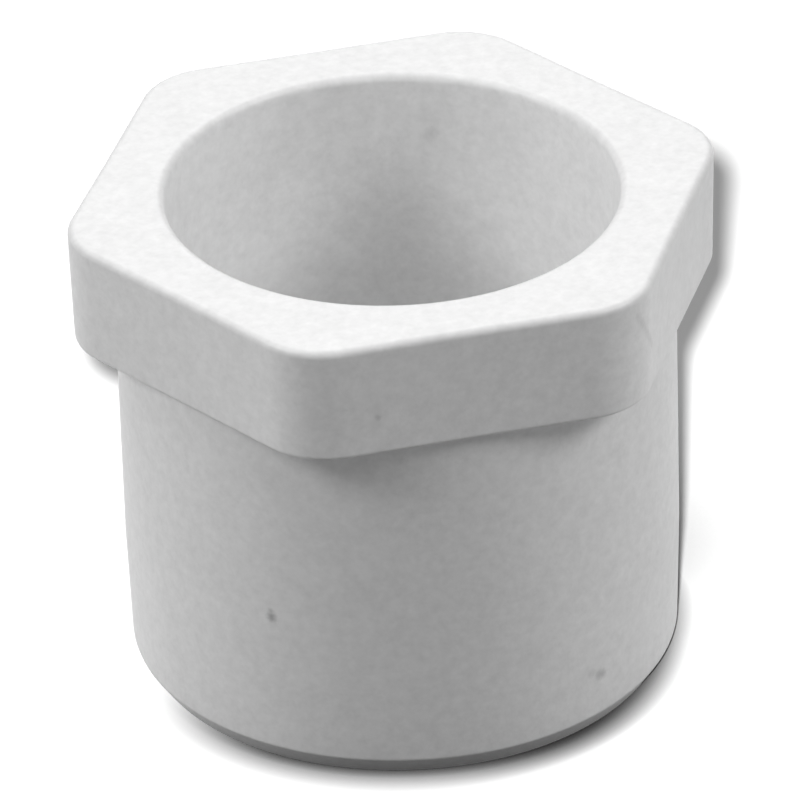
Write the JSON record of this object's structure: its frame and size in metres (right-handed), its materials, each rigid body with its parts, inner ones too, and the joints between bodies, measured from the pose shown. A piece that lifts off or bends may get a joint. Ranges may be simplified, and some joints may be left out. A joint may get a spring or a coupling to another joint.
{
  "type": "reducing bushing",
  "caption": "Plastic pipe bushing with a hexagon head: its spigot goes into a larger fitting and its socket takes a smaller pipe.",
  "frame": {"origin": "centre of the spigot's end face, which is the bottom of the part", "axes": "+Z along the bore axis from the spigot's end towards the hexagon head; +X through a corner of the hexagon"},
  "size_m": [0.0312, 0.028, 0.0247],
  "materials": {
    "white_pvc": "satin"
  },
  "bodies": {
    "root": {"reducing_bushing": "white_pvc"}
  },
  "joints": []
}
